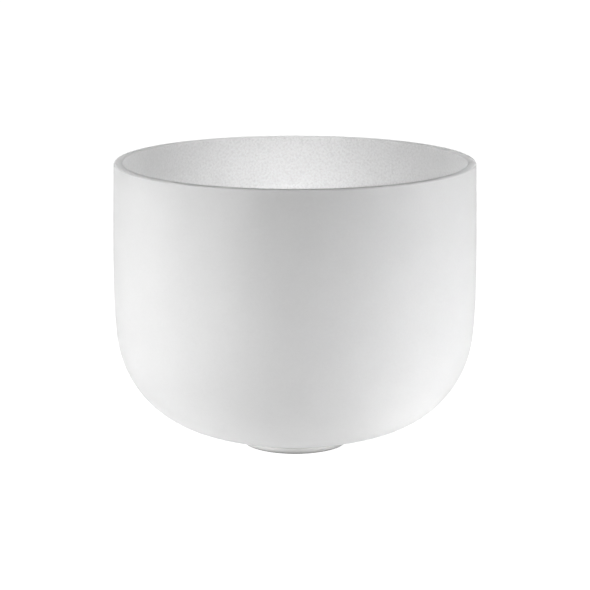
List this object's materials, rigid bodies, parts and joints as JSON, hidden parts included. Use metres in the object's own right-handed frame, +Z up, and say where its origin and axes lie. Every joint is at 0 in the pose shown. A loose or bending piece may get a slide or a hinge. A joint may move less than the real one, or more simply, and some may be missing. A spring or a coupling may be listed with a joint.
{
  "type": "singing bowl",
  "caption": "Deep straight-sided singing bowl of frosted white quartz with a rounded bottom, open at the top, resting on a low round silicone ring.",
  "frame": {"origin": "on the table, on the bowl's axis, under the middle of the support ring", "axes": "+Z up along the bowl's axis of revolution; X and Y are any two level directions"},
  "size_m": [0.3078, 0.3078, 0.2435],
  "materials": {
    "frosted_quartz": "matte",
    "silicone": "satin"
  },
  "bodies": {
    "ring": {"support_ring": "silicone"},
    "bowl": {"bowl": "frosted_quartz"}
  },
  "joints": [
    {"name": "bowl_lift", "type": "slide", "parent": "ring", "child": "bowl", "axis": [0, 0, 1], "range_m": [0, 0.15]}
  ]
}
